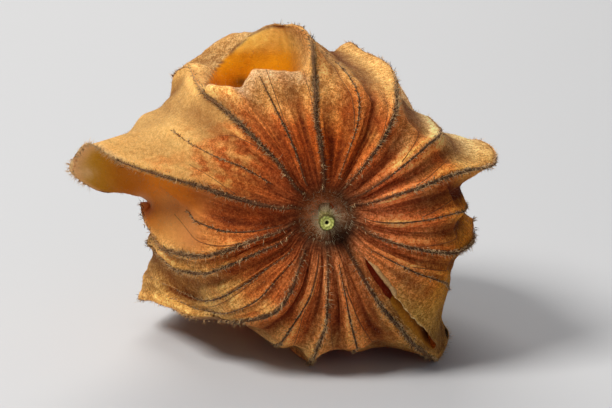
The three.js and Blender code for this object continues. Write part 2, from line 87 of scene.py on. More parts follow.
# name, sharp, height, turns on the face's rings, brow to lee, back turn, back radius, furrow after it
RIBS = (
    ("V", False, 0.1, (2, 0.3, 2, 4.5),
     (face(5, 136, 5), face(8, 139, 8.5), face(12, 136, 12), face(16, 135, 15.5), body(4, 13.6, 19)),
     3, 13, (0.9, 1.7, 1.2)),
    ("R1", True, 0.5, (25.5, 22.3, 20.8, 21.2),
     (face(20.5, 150, 3.2), face(19.4, 175, 6), face(23.5, 182, 9.5), face(29, 172, 14),
      body(17, 15.8, 18.5)),
     17, 15, (0.9, 1, 1.2)),
    ("K", True, 0.2, (38.6, 36.9, 37.1, 37.8),
     (face(38, 142, 4.5), face(40.5, 147, 7.5), face(47, 144, 12), body(42, 12.8, 15.5),
      body(48, 13.2, 19)),
     54, 13, (0.8, 0.9, 0.9)),
    ("L", True, 0.4, (60.5, 56.8, 56.3, 58.3),
     (face(60.4, 142, 3.8), face(62.9, 152, 6), face(67, 164, 11), face(72, 172, 15), face(78, 176, 19)),
     78, 14.8, (0.6, 0.7, 1)),
    ("M", False, 0.1, (75.5, 73.3, 72.8, 75.6),
     (face(80.5, 146, 4.2), face(84, 155, 6.6), face(88, 162, 10), face(91, 168, 14), body(91, 15.4, 19)),
     93, 15, (0.6, 0.5, 0.8)),
    ("T1", True, 0.5, (93.7, 94.4, 95.8, 94.9),
     (face(94.8, 145, 3.5), face(94.2, 176, 5.5), face(95.4, 189, 7.2), face(98.5, 199, 10),
      body(103, 17.5, 16.5)),
     104, 16.6, None),
    ("TQ", False, -0.4, (106, 104.2, 104.6, 104.4),
     (face(104, 157, 4), face(105, 145, 11), face(103.6, 176, 14.4), face(104.5, 204, 15.6),
      body(111, 17.6, 19.4)),
     112, 16, None),
    ("Q", False, 0.1, (117.5, 113.9, 113.7, 114.3),
     (face(114.8, 170, 4.2), face(115.2, 147, 12.5), face(113.6, 172, 16), face(113, 200, 17),
      body(118, 17.9, 20.4)),
     120, 17.2, None),
    ("QP", False, -0.3, (124.5, 121.4, 122, 122.6),
     (face(123, 161, 4.4), face(123.6, 139, 12.5), face(122, 163, 16), face(121.6, 190, 17.4),
      body(128, 17.9, 20.4)),
     130, 16.8, None),
    ("PP", False, -0.2, (127.8, 125.2, 126.1, 127),
     (face(128, 167, 4.4), face(129.8, 177, 7.2), face(128.4, 169, 13), face(127, 196, 17),
      body(134.5, 18.3, 20)),
     135.5, 17.4, None),
    ("P", True, 0.4, (131, 128.8, 130, 131),
     (face(132, 147, 3.6), face(133.2, 176, 6.5), face(132.8, 194, 10.5), face(131.7, 210, 16.5),
      body(141, 18.5, 19.5)),
     141, 18, (0.5, 1, 1)),
    ("R", False, 0.1, (143.6, 145, 146.7, 149.1),
     (face(149.8, 158, 4.2), face(149.4, 184, 7.5), face(150, 203, 11.5), face(150.3, 213, 15.5),
      body(158, 18.8, 19.5)),
     156, 17, (0.3, 0.5, 0.5)),
    ("L1", True, 0.6, (161.3, 164.2, 164.3, 163.9),
     (face(163.9, 173, 3.4), face(163.4, 222, 5), face(161.8, 255, 7.5), face(168.5, 261, 11.5),
      face(172.3, 222, 16.2)),
     178, 16.5, (0.8, 0.6, 0.3)),
    ("W", False, -0.3, (184, 187, 184.7, 179.5),
     (face(175.5, 140, 5.5), face(171.5, 157, 8.8), face(172.5, 172, 12.3), face(174, 180, 16),
      body(184, 15, 19.5)),
     184, 14, None),
    ("A", True, 0.4, (189.7, 193, 195.3, 194.4),
     (face(192.2, 148, 4), face(189, 165, 6.2), face(184, 176, 9), face(177.6, 184, 12.8),
      face(173.6, 187, 16.8)),
     192, 17, (0.6, 0.7, 0.7)),
    ("B", True, 0.3, (202.4, 202.9, 203.3, 202.4),
     (face(199.3, 148, 4.6), face(195, 162, 6.8), face(190.5, 173, 9.5), face(187.8, 178, 13.2),
      face(186, 180, 17)),
     199, 16.5, (0.7, 0.8, 0.8)),
    ("C", False, 0.1, (218.3, 217.6, 216.9, 215.3),
     (face(213, 143, 5.3), face(209.5, 152, 9), face(203, 166, 12), face(197.5, 181, 15),
      face(195, 188, 18.5)),
     205, 17.5, None),
    ("D", False, 0.1, (228.5, 228.3, 227.8, 223),
     (face(219, 143, 5), face(212, 159, 8.3), face(206, 172, 11.3), face(201, 186, 14.5),
      face(198.8, 196, 18.2)),
     209.5, 18.5, None),
    ("E", True, 0.5, (235.5, 241.5, 239.2, 229),
     (face(224.4, 141, 4.2), face(214, 166, 7.5), face(209, 177, 10.5), face(204.5, 190, 14),
      face(201.5, 202, 18)),
     214, 19.5, (1, 1, 1)),
    ("F", False, 0.2, (258, 256.8, 252.4, 249.1),
     (face(248.5, 131, 4.8), face(246, 132, 8), body(243, 15, 12), body(241, 15.4, 15.5),
      body(238, 16.6, 19.5)),
     236, 17.6, (0.8, 1, 1.2)),
    ("G", True, 0.4, (271, 270.4, 269.2, 265.2),
     (face(263.5, 139, 5), face(262.5, 143, 8), body(261, 16.4, 12), body(261, 16, 15.5),
      body(262, 15.3, 19.5)),
     262, 15.3, (0.8, 1, 1.2)),
    ("H", False, 0.2, (286, 284.4, 283.4, 283.5),
     (face(282, 131, 5.2), face(281.5, 131, 8.2), body(281, 14.9, 12), body(281, 14.7, 15.5),
      body(282, 14.6, 19.5)),
     283, 14.4, (0.85, 0.9, 1)),
    ("I", True, 0.5, (305, 303.3, 303.7, 305.3),
     (face(306, 148, 3.8), face(307.8, 170, 6.5), face(310, 178, 9.5), face(313.6, 174, 13.5),
      face(317.6, 164, 17.5)),
     311, 18.4, None),
    ("S", False, 0.1, (318, 312.5, 310.8, 310.2),
     (face(310.5, 146, 4.3), face(311, 164, 7.2), face(314, 165, 10.5), face(317.5, 160, 14),
      body(315, 17.5, 18)),
     316, 16.5, None),
    ("J2", False, 0.2, (329, 329.5, 330.8, 332.6),
     (face(333, 135, 4.6), face(331.5, 139, 8), body(326, 14.6, 12), body(326, 14.2, 15.5),
      body(327, 14, 19.5)),
     327, 13.7, (0.85, 0.9, 1)),
    ("J", True, 0.4, (345.5, 343.3, 344.5, 346.6),
     (face(349.8, 142, 4.5), face(353.5, 146.5, 7), face(357.5, 147.5, 10.5), face(1.5, 147, 14.5),
      body(347, 15.9, 19)),
     346, 15.5, (0.85, 0.9, 1)),
)


def rib_points(turns, height, over, back_turn, back_radius):
    """The stations of one rib: collar, rings of the face, brow to lee, back and tip."""
    angle = math.radians(turns[0])
    stations = []
    for radius, depth in COLLAR:
        stations.append((COLLAR_CENTRE[0] + radius * math.cos(angle), depth,
                         COLLAR_CENTRE[1] + radius * math.sin(angle)))
    for ring_turn, (ring_reach, depth, share) in zip(turns, RINGS):
        stations.append(face(ring_turn, ring_reach, depth - height * share))
    stations.extend(over)
    stations.append(body(back_turn, back_radius, BACK_DEPTH))
    for depth, share, drift in TIP:
        stations.append(body(back_turn + drift, back_radius * share, depth))
    return np.array(stations, float)


def furrow_points(first, second, sinks):
    """The stations of the furrow between two ribs, sunk by an amount on the face, the flank and the back."""
    middle = (first + second) / 2
    for i in range(len(middle)):
        if FACE_FIRST <= i < FACE_LAST:
            middle[i, 1] += sinks[0] * RINGS[i - FACE_FIRST][2]
        elif i >= FACE_LAST:
            centre = axis_at(middle[i, 1])
            out = np.array([middle[i, 0] - centre[0], 0, middle[i, 2] - centre[1]])
            sink = sinks[1] if i < BACK_FIRST else sinks[2] * BACK_SHARES[i - BACK_FIRST]
            middle[i] -= out / np.linalg.norm(out) * sink
    return middle


lines, sharp, line_of = [], [], {}
drawn = [rib_points(turns, height, over, back_turn, back_radius)
         for name, is_sharp, height, turns, over, back_turn, back_radius, sinks in RIBS]
for k, rib in enumerate(RIBS):
    name, is_sharp, sinks = rib[0], rib[1], rib[-1]
    line_of[name] = len(lines)
    lines.append(drawn[k])
    sharp.append(is_sharp)
    if sinks:
        lines.append(furrow_points(drawn[k], drawn[(k + 1) % len(RIBS)], sinks))
        sharp.append(False)
lines = np.array(lines)
N_LINES = len(lines)


def hermite(first, last, first_slope, last_slope, share):
    square, cube = share ** 2, share ** 3
    return (first * (2 * cube - 3 * square + 1) + first_slope * (cube - 2 * square + share)
            + last * (3 * square - 2 * cube) + last_slope * (cube - square))


def between(place):
    """The stations of the column at a place, counted in lines round the stem."""
    i = int(math.floor(place)) % N_LINES
    before, start, end, after = [lines[(i + k) % N_LINES] for k in (-1, 0, 1, 2)]
    chord = end - start
    start_slope = chord if sharp[i] else (end - before) / 2
    end_slope = chord if sharp[(i + 1) % N_LINES] else (after - start) / 2
    return hermite(start, end, start_slope, end_slope, place - math.floor(place))


def down_rib(stations, steps):
    """The points of one column, from the stem to the tip, with a number of steps after each station."""
    last = len(stations) - 1
    slopes = [(stations[min(i + 1, last)] - stations[max(i - 1, 0)]) * STATION_SLOPE
              for i in range(last + 1)]
    points = []
    for i in range(last):
        for k in range(steps[i]):
            points.append(hermite(stations[i], stations[i + 1], slopes[i], slopes[i + 1], k / steps[i]))
    points.append(stations[last])
    return np.array(points)


def noise(x, y, seed=0, cells=None):
    """Smooth value noise from 0 to 1 on numpy arrays. It repeats along x after the given cells."""
    def corner(i, j):
        i = np.mod(i, cells) if cells else i
        mixed = np.sin(i * MIX_X + j * MIX_Y + seed * MIX_SEED) * MIX_SCALE
        return mixed - np.floor(mixed)
    i, j = np.floor(x), np.floor(y)
    f, g = x - i, y - j
    f, g = f * f * (3 - 2 * f), g * g * (3 - 2 * g)
    near = corner(i, j) * (1 - f) + corner(i + 1, j) * f
    far = corner(i, j + 1) * (1 - f) + corner(i + 1, j + 1) * f
    return near * (1 - g) + far * g


PER_LINE = 14  # columns from one line to the next
ROW_STEPS = (3, 3, 4, 6, 8, 8, 7, 8, 8, 8, 8, 8, 7, 6, 5)
places = np.arange(N_LINES * PER_LINE) / PER_LINE
grid = np.array([down_rib(between(p), ROW_STEPS) for p in places])
COLUMNS, ROWS = grid.shape[:2]
place = np.repeat(places[:, None], ROWS, 1)
row = np.repeat(np.arange(ROWS)[None], COLUMNS, 0)
BROW, EDGE, TURN, FLANK, LEE = np.cumsum(ROW_STEPS)[6:11]  # the rows of the stations behind the face
step_lengths = np.linalg.norm(np.diff(grid, axis=1), axis=2)
run = np.concatenate([np.zeros((COLUMNS, 1)), np.cumsum(step_lengths, axis=1)], axis=1)


def unit(vectors):
    """Vectors brought to length one, along the last axis."""
    return vectors / (np.linalg.norm(vectors, axis=-1, keepdims=True) + 1e-9)


def normals_of(points):
    across = np.roll(points, -1, 0) - np.roll(points, 1, 0)
    return unit(np.cross(np.gradient(points, axis=1), across))


def fade_in(values, start, over):
    """Nothing up to the start, then growing to one."""
    return np.clip((values - start) / over, 0, 1)


def fade_out(values, end, over):
    """One, then shrinking to nothing at the end."""
    return np.clip((end - values) / over, 0, 1)


def hump(values, centre, wide):
    """One at the centre, falling off smoothly to both sides."""
    return np.exp(-((values - centre) / wide) ** 2)


def around(cells, along, seed):
    """Noise with a number of cells round the stem, stretched along the ribs."""
    return noise(place * cells / N_LINES, run * along, seed, cells)


def ridges(cells, along, seed):
    """Narrow crests running out from the stem."""
    return (1 - np.abs(2 * around(cells, along, seed) - 1)) ** 2


def between_lines(first, second, soft=0.5):
    """One between two named lines, fading to nothing at them."""
    inside = np.minimum(place - line_of[first], line_of[second] - place)
    return fade_in(inside, 0, soft)


# Crumpling: pleats near the stem, creases along the ribs and soft dents across them further out.
outward = fade_in(run, 3, 9)
pleated = fade_in(run, 1.5, 2.5) * fade_out(run, 16, 7)
smooth_left = 1 - 0.55 * between_lines("P", "A", 2.0)
crease = around(94, 0.16, 1) - 0.5
dent = around(37, 0.33, 2) - 0.5
fine = around(170, 0.8, 3) - 0.5
pleat = ridges(123, 0.09, 4) * 0.6 + ridges(201, 0.14, 5) * 0.4 - 0.35
push = (crease * 0.34 + dent * 0.42 + fine * 0.14) * outward + pleat * 0.3 * pleated * smooth_left
grid = grid + normals_of(grid) * push[..., None]
grid[..., 2] = np.where(grid[..., 2] < FLOOR + FLATTEN, FLOOR + CLEAR, grid[..., 2])
normal = normals_of(grid)


def seen(points):
    """Where points fall on the leaning face: side and rise, in units."""
    forward = points[..., 1] * math.cos(LEAN) - points[..., 2] * math.sin(LEAN)
    up = points[..., 1] * math.sin(LEAN) + points[..., 2] * math.cos(LEAN)
    scale = UNIT * (1 + forward / DISTANCE)
    return points[..., 0] / scale, up / scale


side, rise = seen(grid)
reach = np.hypot(side, rise)
turn = np.degrees(np.arctan2(rise, side)) % 360

# The tear beside the lower right keel, cut along one line and drawn apart: reach in units, half its width.
TEAR = np.array([
    (50, 0.0), (56, 0.14), (64, 0.3), (79, 0.36), (90, 0.4), (97, 0.28), (104, 0.42),
    (123, 0.55), (137, 0.55), (152, 0.45), (162, 0.28), (168, 0.0),
])
TEAR_DEPTH = 8  # it ends on the front of the husk
TEAR_FIRST_ROW = 6
TEAR_PULL = 11  # columns to each side that the tear draws apart
tear = line_of["S"] * PER_LINE  # the tear's column
tangent = unit(np.roll(grid, -1, 0) - np.roll(grid, 1, 0))
open_half = np.interp(reach[tear], TEAR[:, 0], TEAR[:, 1], left=0, right=0)
open_half[grid[tear, :, 1] > TEAR_DEPTH] = 0
open_half[:TEAR_FIRST_ROW] = 0
ragged = 1 + 0.5 * (noise(np.arange(ROWS) * 0.9, np.zeros(ROWS), 9) - 0.5)
for k in range(-TEAR_PULL, TEAR_PULL + 1):
    fall = (1 - abs(k) / (TEAR_PULL + 1)) ** 1.5
    column = (tear + k) % COLUMNS
    grid[column] += tangent[column] * (np.sign(k) * open_half * fall * 0.9)[:, None]
half_gap = tangent[tear] * (open_half * ragged)[:, None]
left_edge = grid[tear] - half_gap
right_edge = grid[tear] + half_gap + normal[tear] * (open_half * 0.9)[:, None]  # its edge curls up
grid[(tear + 1) % COLUMNS] += normal[tear] * (open_half * 0.35)[:, None]


def to_frame(points):
    """From millimetres round the stem to metres in the part's frame."""
    return (np.asarray(points, float) + SHIFT) / 1000.0


def make(name, points, faces, material, smooth=True):
    mesh = bpy.data.meshes.new(name)
    mesh.from_pydata([tuple(p) for p in points], [], faces)
    mesh.update()
    if smooth:
        mesh.polygons.foreach_set("use_smooth", [True] * len(mesh.polygons))
    piece = bpy.data.objects.new(name, mesh)
    bpy.context.scene.collection.objects.link(piece)
    mesh.materials.append(material)
    return piece


def srgb(*colour):
    """A colour given from 0 to 255, in the linear values that Blender uses."""
    colour = np.array(colour, float) / 255
    return np.where(colour <= 0.04045, colour / 12.92, ((colour + 0.055) / 1.055) ** 2.4)


def stops(values, table):
    """Colours along values, from a table of value and colour."""
    keys = [key for key, colour in table]
    colours = np.array([srgb(*colour) for key, colour in table])
    return np.stack([np.interp(values, keys, colours[:, k]) for k in range(3)], -1)


def blend(under, share, over):
    """One set of colours laid over another, by a share for each point."""
    share = np.asarray(share)[..., None]
    return under * (1 - share) + over * share


def node(tree, kind, **values):
    added = tree.nodes.new(kind)
    for key, value in values.items():
        if key in added.inputs:
            added.inputs[key].default_value = value
        else:
            setattr(added, key, value)
    return added


def new_material(name):
    material = bpy.data.materials.new(name)
    material.use_nodes = True
    material.node_tree.nodes.clear()
    return material, material.node_tree


def in_object_space(tree, texture):
    coordinates = node(tree, "ShaderNodeTexCoord")
    tree.links.new(coordinates.outputs["Object"], texture.inputs["Vector"])


def noise_texture(tree, scale, detail=5.0, rough=0.6):
    texture = node(tree, "ShaderNodeTexNoise", Scale=scale, Detail=detail, Roughness=rough)
    in_object_space(tree, texture)
    return texture.outputs["Fac"]


def ramp(tree, source, points):
    colours = tree.nodes.new("ShaderNodeValToRGB")
    elements = colours.color_ramp.elements
    while len(elements) < len(points):
        elements.new(0.5)
    for element, (position, colour) in zip(elements, points):
        element.position = position
        element.color = (*colour, 1)
    tree.links.new(source, colours.inputs[0])
    return colours.outputs[0]


def multiply(tree, amount, first, second):
    """The first colour multiplied by the second, by an amount. Each may be a socket or a value."""
    mixer = tree.nodes.new("ShaderNodeMix")
    mixer.data_type = "RGBA"
    mixer.blend_type = "MULTIPLY"
    for socket, value in ((mixer.inputs[0], amount), (mixer.inputs[6], first), (mixer.inputs[7], second)):
        if hasattr(value, "is_linked"):
            tree.links.new(value, socket)
        elif np.isscalar(value):
            socket.default_value = value
        else:
            socket.default_value = (*value, 1)
    return mixer.outputs[2]


def bumpy(tree, height, strength, distance, under=None):
    """A bump from a height, over another bump where one is given."""
    bump = node(tree, "ShaderNodeBump", Strength=strength, Distance=distance)
    tree.links.new(height, bump.inputs["Height"])
    if under is not None:
        tree.links.new(under, bump.inputs["Normal"])
    return bump.outputs["Normal"]


def solid_shader(tree, colour, rough, shine, bump=None):
    shader = node(tree, "ShaderNodeBsdfPrincipled", Roughness=rough)
    shader.inputs["Specular IOR Level"].default_value = shine
    tree.links.new(colour, shader.inputs["Base Color"])
    if bump is not None:
        tree.links.new(bump, shader.inputs["Normal"])
    return shader.outputs[0]


def see_through(tree, front, colour, through, bump=None):
    """A shader mixed with light that comes through from behind."""
    glow = node(tree, "ShaderNodeBsdfTranslucent")
    tree.links.new(colour, glow.inputs["Color"])
    if bump is not None:
        tree.links.new(bump, glow.inputs["Normal"])
    both = node(tree, "ShaderNodeMixShader")
    both.inputs[0].default_value = through
    tree.links.new(front, both.inputs[1])
    tree.links.new(glow.outputs[0], both.inputs[2])
    return both.outputs[0]


def finish_material(tree, shader):
    output = node(tree, "ShaderNodeOutputMaterial")
    tree.links.new(shader, output.inputs["Surface"])


def paper_material(name):
    """Mottled, slightly see-through paper. It is plain where the smooth attribute is one."""
    material, tree = new_material(name)
    tint = node(tree, "ShaderNodeVertexColor", layer_name="tint")
    smooth = node(tree, "ShaderNodeAttribute", attribute_name="smooth")
    speckled = node(tree, "ShaderNodeMath", operation="SUBTRACT")
    speckled.inputs[0].default_value = 1
    tree.links.new(smooth.outputs["Fac"], speckled.inputs[1])

    def speckle(colour, amount, source, shades):
        share = node(tree, "ShaderNodeMath", operation="MULTIPLY")
        share.inputs[1].default_value = amount
        tree.links.new(speckled.outputs[0], share.inputs[0])
        return multiply(tree, share.outputs[0], colour, ramp(tree, source, shades))

    big = noise_texture(tree, 380.0, rough=0.62)
    middle = noise_texture(tree, 2600.0, rough=0.72)
    small = noise_texture(tree, 7500.0, detail=2.0)
    net = node(tree, "ShaderNodeTexVoronoi", Scale=1900.0, feature="DISTANCE_TO_EDGE")
    in_object_space(tree, net)
    patches = ((0.34, (0.72, 0.6, 0.5)), (0.5, (1, 1, 1)), (0.66, (1.3, 1.42, 1.5)))
    flecks = ((0.38, (0.6, 0.44, 0.34)), (0.49, (0.95, 0.9, 0.88)), (0.6, (1.24, 1.44, 1.8)))
    grain = ((0.38, (0.6, 0.5, 0.42)), (0.5, (1, 1, 1)), (0.62, (1.32, 1.48, 1.72)))
    veins = ((0.0, (1.35, 1.45, 1.5)), (0.12, (1, 1, 1)), (0.5, (0.9, 0.88, 0.86)))
    colour = speckle(tint.outputs["Color"], 0.5, big, patches)
    colour = speckle(colour, 0.75, middle, flecks)
    colour = speckle(colour, 0.8, small, grain)
    colour = speckle(colour, 0.5, net.outputs["Distance"], veins)
    coarse_bump = bumpy(tree, middle, 0.5, 0.0003)
    bump = bumpy(tree, small, 0.7, 0.00012, coarse_bump)
    front = solid_shader(tree, colour, 0.85, 0.15, bump)
    warm = multiply(tree, 0.75, colour, (1.3, 0.8, 0.3))
    finish_material(tree, see_through(tree, front, warm, 0.3, bump))
    return material


def fruit_material(name, low, high):
    """The berry's shiny skin, between two colours."""
    material, tree = new_material(name)
    mottle = noise_texture(tree, 300.0)
    colour = ramp(tree, mottle, ((0.35, low), (0.65, high)))
    bump = bumpy(tree, mottle, 0.15, 0.0003)
    finish_material(tree, solid_shader(tree, colour, 0.35, 0.4, bump))
    return material


def tinted_material(name, scale, shades, rough):
    """The tint attribute with a grain over it."""
    material, tree = new_material(name)
    tint = node(tree, "ShaderNodeVertexColor", layer_name="tint")
    grain = noise_texture(tree, scale, rough=0.65)
    shade = ramp(tree, grain, shades)
    colour = multiply(tree, 0.7, tint.outputs["Color"], shade)
    bump = bumpy(tree, grain, 0.5, 0.0001)
    finish_material(tree, solid_shader(tree, colour, rough, 0.2, bump))
    return material


def hair_material(name, colour, through):
    material, tree = new_material(name)
    mottle = noise_texture(tree, 900.0, detail=2.0, rough=0.5)
    darker, lighter = 0.7 * colour, np.minimum(1, 1.15 * colour)
    shade = ramp(tree, mottle, ((0.3, darker), (0.7, lighter)))
    finish_material(tree, see_through(tree, solid_shader(tree, shade, 0.6, 0.3), shade, through))
    return material


def paint(piece, colours):
    """One colour for each vertex, in the tint attribute."""
    colours = np.clip(np.asarray(colours), 0, 1)
    layer = piece.data.color_attributes.new("tint", "FLOAT_COLOR", "POINT")
    layer.data.foreach_set("color", np.concatenate([colours, np.ones((len(colours), 1))], 1).ravel())


# The husk's skin, open along the tear.
LEFT, RIGHT = COLUMNS * ROWS, COLUMNS * ROWS + ROWS  # where the points of the tear's two edges start


def skin_index(column, at_row):
    return (column % COLUMNS) * ROWS + at_row


def edge_index(first, column, at_row):
    """The point of one of the tear's edges, or the skin's own point where the tear is shut."""
    return first + at_row if open_half[at_row] > 0 else skin_index(column, at_row)


skin_faces = []
for column in range(COLUMNS):
    for r in range(ROWS - 1):
        corners = [skin_index(column, r), skin_index(column, r + 1),
                   skin_index(column + 1, r + 1), skin_index(column + 1, r)]
        if column == tear:
            corners[:2] = edge_index(RIGHT, column, r), edge_index(RIGHT, column, r + 1)
        if (column + 1) % COLUMNS == tear:
            corners[2:] = edge_index(LEFT, column + 1, r + 1), edge_index(LEFT, column + 1, r)
        skin_faces.append(corners)
skin_points = np.concatenate([grid.reshape(-1, 3), left_edge, right_edge])

# How far each point stands out from the skin round it, in millimetres: ribs above, furrows below. It paints
# shade into the furrows and light onto the ribs.
SPAN = 18  # columns to each side
level = sum(np.roll(grid, k, 0) for k in range(-SPAN, SPAN + 1)) / (2 * SPAN + 1)
relief = np.clip(np.sum((grid - level) * normal, axis=2), -1, 1)
relief = relief * (1 - 0.75 * between_lines("P", "W", 1.5))

# Tints: rust round the stem, tan outwards. The run is broken up, so that their edge wanders and flakes.
edge_wander = (around(41, 0.5, 11) - 0.5) * 5 + (around(164, 1.6, 12) - 0.5) * 2.4
flakes = between_lines("P", "L1") * np.tanh((around(150, 1.6, 51) - 0.5) * 9) * 1.6
tone_run = run + (edge_wander + flakes) * fade_in(run, 4, 5)
skin = stops(tone_run, (
    (0, (166, 120, 80)), (0.6, (160, 106, 66)), (1.2, (132, 82, 46)), (1.8, (104, 58, 28)),
    (2.6, (130, 63, 27)), (3.6, (148, 70, 28)), (5, (160, 76, 30)), (7, (176, 84, 32)), (9, (188, 98, 40)),
    (11, (202, 124, 58)), (13.5, (212, 148, 76)), (16, (216, 162, 88)), (26, (206, 156, 86)),
    (40, (184, 130, 68)),
))


def towards(at):
    """One at a turn round the stem, minus one opposite it."""
    return np.cos(np.radians(turn - at))


def near_turn(at, wide):
    """One at a turn round the stem, shrinking evenly to both sides."""
    return fade_out(np.abs((turn - at + 180) % 360 - 180), wide, wide)


# Each row is where the skin changes and by how much its red, green and blue grow there.
CHANGES = [
    # painted light on the collar's upper left and painted shade on its lower right
    (towards(125) * fade_out(run, 3.2, 1.4), (0.6, 0.6, 0.6)),
    ((around(287, 0.35, 7) - 0.5) * np.clip((17 - run) / 9, 0.2, 1) * fade_in(run, 0, 2), (0.75, 0.8, 0.8)),
    (fade_in(towards(-28), -0.45, 1.1) * hump(run, 5.2, 3.4), (0.85, 1.55, 2.6)),
    (fade_in(towards(-8), 0.55, 0.4) * fade_in(run, 9, 4), (-0.32, -0.5, -0.86)),
    # darker towards the bottom: painted shade
    (fade_in(-rise, 20, 120), (-0.04, -0.008, -0.008)),
    (near_turn(42, 18) * fade_in(reach, 75, 30), (0.62, 0.95, 1.2)),
    (near_turn(150, 26) * fade_in(reach, 70, 80), (0.22, 0.36, 0.5)),
    (between_lines("V", "L", 1.2) * fade_in(reach, 130, 30), (0.04, 0.3, 1.3)),
    # painted light on the pleats' crests and painted shade in their folds
    (pleat * pleated * smooth_left, (0.5, 0.6, 0.62)),
    # painted shade in the furrows and painted light on the ribs
    (np.clip(relief, -0.6, 0.4) * fade_in(run, 0, 4), (1.2, 1.45, 1.5)),
]
# The same round single places: turn and how wide, reach and how deep, then the change.
for at_turn, wide, at_reach, deep, change in (
    (8, 30, 62, 24, (0.46, 0.58, 0.8)),
    (88, 45, 75, 35, (-0.04, -0.14, -0.55)),
    (66, 16, 92, 24, (-0.22, -0.26, -0.36)),
    (313, 30, 95, 50, (-0.12, 0.08, 0.06)),
    (212, 34, 100, 38, (0.12, 0.36, 0.34)),
    (268, 42, 58, 24, (0.0, 0.22, 0.34)),
    (158, 24, 92, 28, (-0.18, -0.06, -0.16)),
    (129, 12, 150, 30, (0.16, 0.2, 0.2)),
    # paler paper on the right wing, with painted light over the shade of a crease
    (27, 13, 142, 28, (0.3, 0.42, 0.5)),
    (203, 16, 168, 30, (0.14, 0.06, -0.2)),
    (354, 16, 142, 14, (0.3, 0.22, 0.1)),
    # the collar's sunken cup: painted shadow on its lower right and upper right, painted light on its upper
    # left
    (335, 75, 22, 7, (-0.6, -0.64, -0.66)),
    (60, 50, 27, 7, (-0.3, -0.3, -0.3)),
    (130, 60, 17, 7, (0.3, 0.26, 0.2)),
):
    CHANGES.append((near_turn(at_turn, wide) * hump(reach, at_reach, deep), change))
for where, change in CHANGES:
    skin = skin * (1 + where[..., None] * np.array(change))

# The hollow behind the top rib, smooth up to its brim: golden painted glow of light through the paper,
# darker by the lip and brighter towards the brim.
from_side = fade_in(place, line_of["T1"] + 0.35, 0.6) * fade_out(place, line_of["P"], 0.45)
lip_lines = [line_of[name] for name in ("T1", "Q", "QP", "PP", "P")]
lip_row = np.interp(place, lip_lines, (BROW, BROW, BROW, EDGE, TURN))
BRIM = ((-126, 128), (-119, 141), (-112, 153), (-95, 171), (-77, 187), (-65, 193), (-57, 196), (-31, 196),
        (-14, 184))
above_brim = rise - np.interp(side, *zip(*BRIM))
in_hollow = from_side * fade_in(row, lip_row + 1, 2.5) * fade_out(row, LEE + 3, 3)
in_hollow = in_hollow * fade_out(above_brim, 1, 2.5)
# painted glow in the hollow, darker by the lip and brighter towards the brim
hollow_glow = stops(rise, (
    (134, (190, 104, 0)), (146, (226, 134, 0)), (158, (230, 146, 4)), (168, (230, 152, 24)),
    (177, (244, 186, 78)), (187, (250, 200, 96)), (198, (236, 180, 96)),
))
wall_mottle = (around(230, 2.2, 31) - 0.5) * fade_in(rise, 150, 25)
hollow_glow = hollow_glow * (1 + wall_mottle[..., None] * np.array([0.3, 0.5, 0.8]))

# The pocket under the left wing: orange painted glow of light through the paper under the wing, tan on its
# open side, frayed at the wing's tip.
in_pocket = between_lines("L1", "A", 0.3) * fade_in(row, BROW - 14, 10) * fade_out(row, LEE + 4, 4)
# painted glow under the wing
under_wing_glow = stops(side, (
    (-262, (240, 214, 150)), (-248, (218, 184, 96)), (-232, (196, 148, 30)), (-208, (184, 114, 0)),
    (-186, (192, 114, 0)), (-172, (226, 138, 10)), (-150, (224, 134, 30)), (-120, (182, 98, 40)),
))
open_side = stops(side, (
    (-180, (234, 156, 60)), (-160, (232, 162, 82)), (-140, (218, 146, 78)), (-110, (192, 110, 52)),
))
pocket_wall = blend(open_side, fade_out(place, line_of["W"] + 0.2, 0.9), under_wing_glow)
threads = 0.4 + 1.2 * noise(side * 0.12, rise * 0.9, 37)
frayed = hump(rise, 50, 5) * fade_in(-side, 226, 18) * threads
pocket_wall = blend(pocket_wall, 0.6 * frayed, srgb(240, 222, 170))

# Pale paper along the left wing's edge, made paler still as painted light where the edge faces away from the
# lamps.
tip_edge = fade_out(np.abs(place - line_of["L1"]), 0.3, 0.3)
tip_edge = tip_edge * fade_in(row, EDGE - 2, 3) * fade_out(row, LEE, 8)
# A painted highlight along the hollow's near lip.
lip_highlight = between_lines("T1", "P", 0.7) * hump(row, lip_row - 1, 2.0)
# A black painted shadow in the hollow's deep cleft by the lip.
cleft_shadow = in_hollow * hump(side, -85, 8) * hump(rise, 141, 6)
behind_lip = from_side * fade_in(row, EDGE, 3)
outer_rim = behind_lip * fade_in(above_brim, 0.5, 2) * fade_out(above_brim, 34, 30)
rim = behind_lip * hump(above_brim, 0.6, 1.3)
nook = hump(side, -183, 9) * hump(rise, 18, 9) * fade_in(row, 56, 4)

# Dark brown stains along the ribs.
MAIN_RIBS = ("R1", "L", "T1", "P", "L1", "A", "B", "E", "G", "I", "J", "K")
PALER_RIBS = ("L", "B", "G", "K")
STAIN_WIDTH = 0.34
stain = np.zeros((COLUMNS, ROWS))
for name in MAIN_RIBS:
    away = np.linalg.norm(grid - grid[line_of[name] * PER_LINE][None], axis=2)
    strength = 0.75 if name in PALER_RIBS else 1.0
    stain = np.maximum(stain, strength * hump(away, 0, STAIN_WIDTH))
patchy = 0.55 + 0.9 * around(410, 3.0, 13)
stain = np.clip(stain * np.clip(run / 4, 0.1, 1) * fade_out(row, TURN, 10) * patchy, 0, 1)

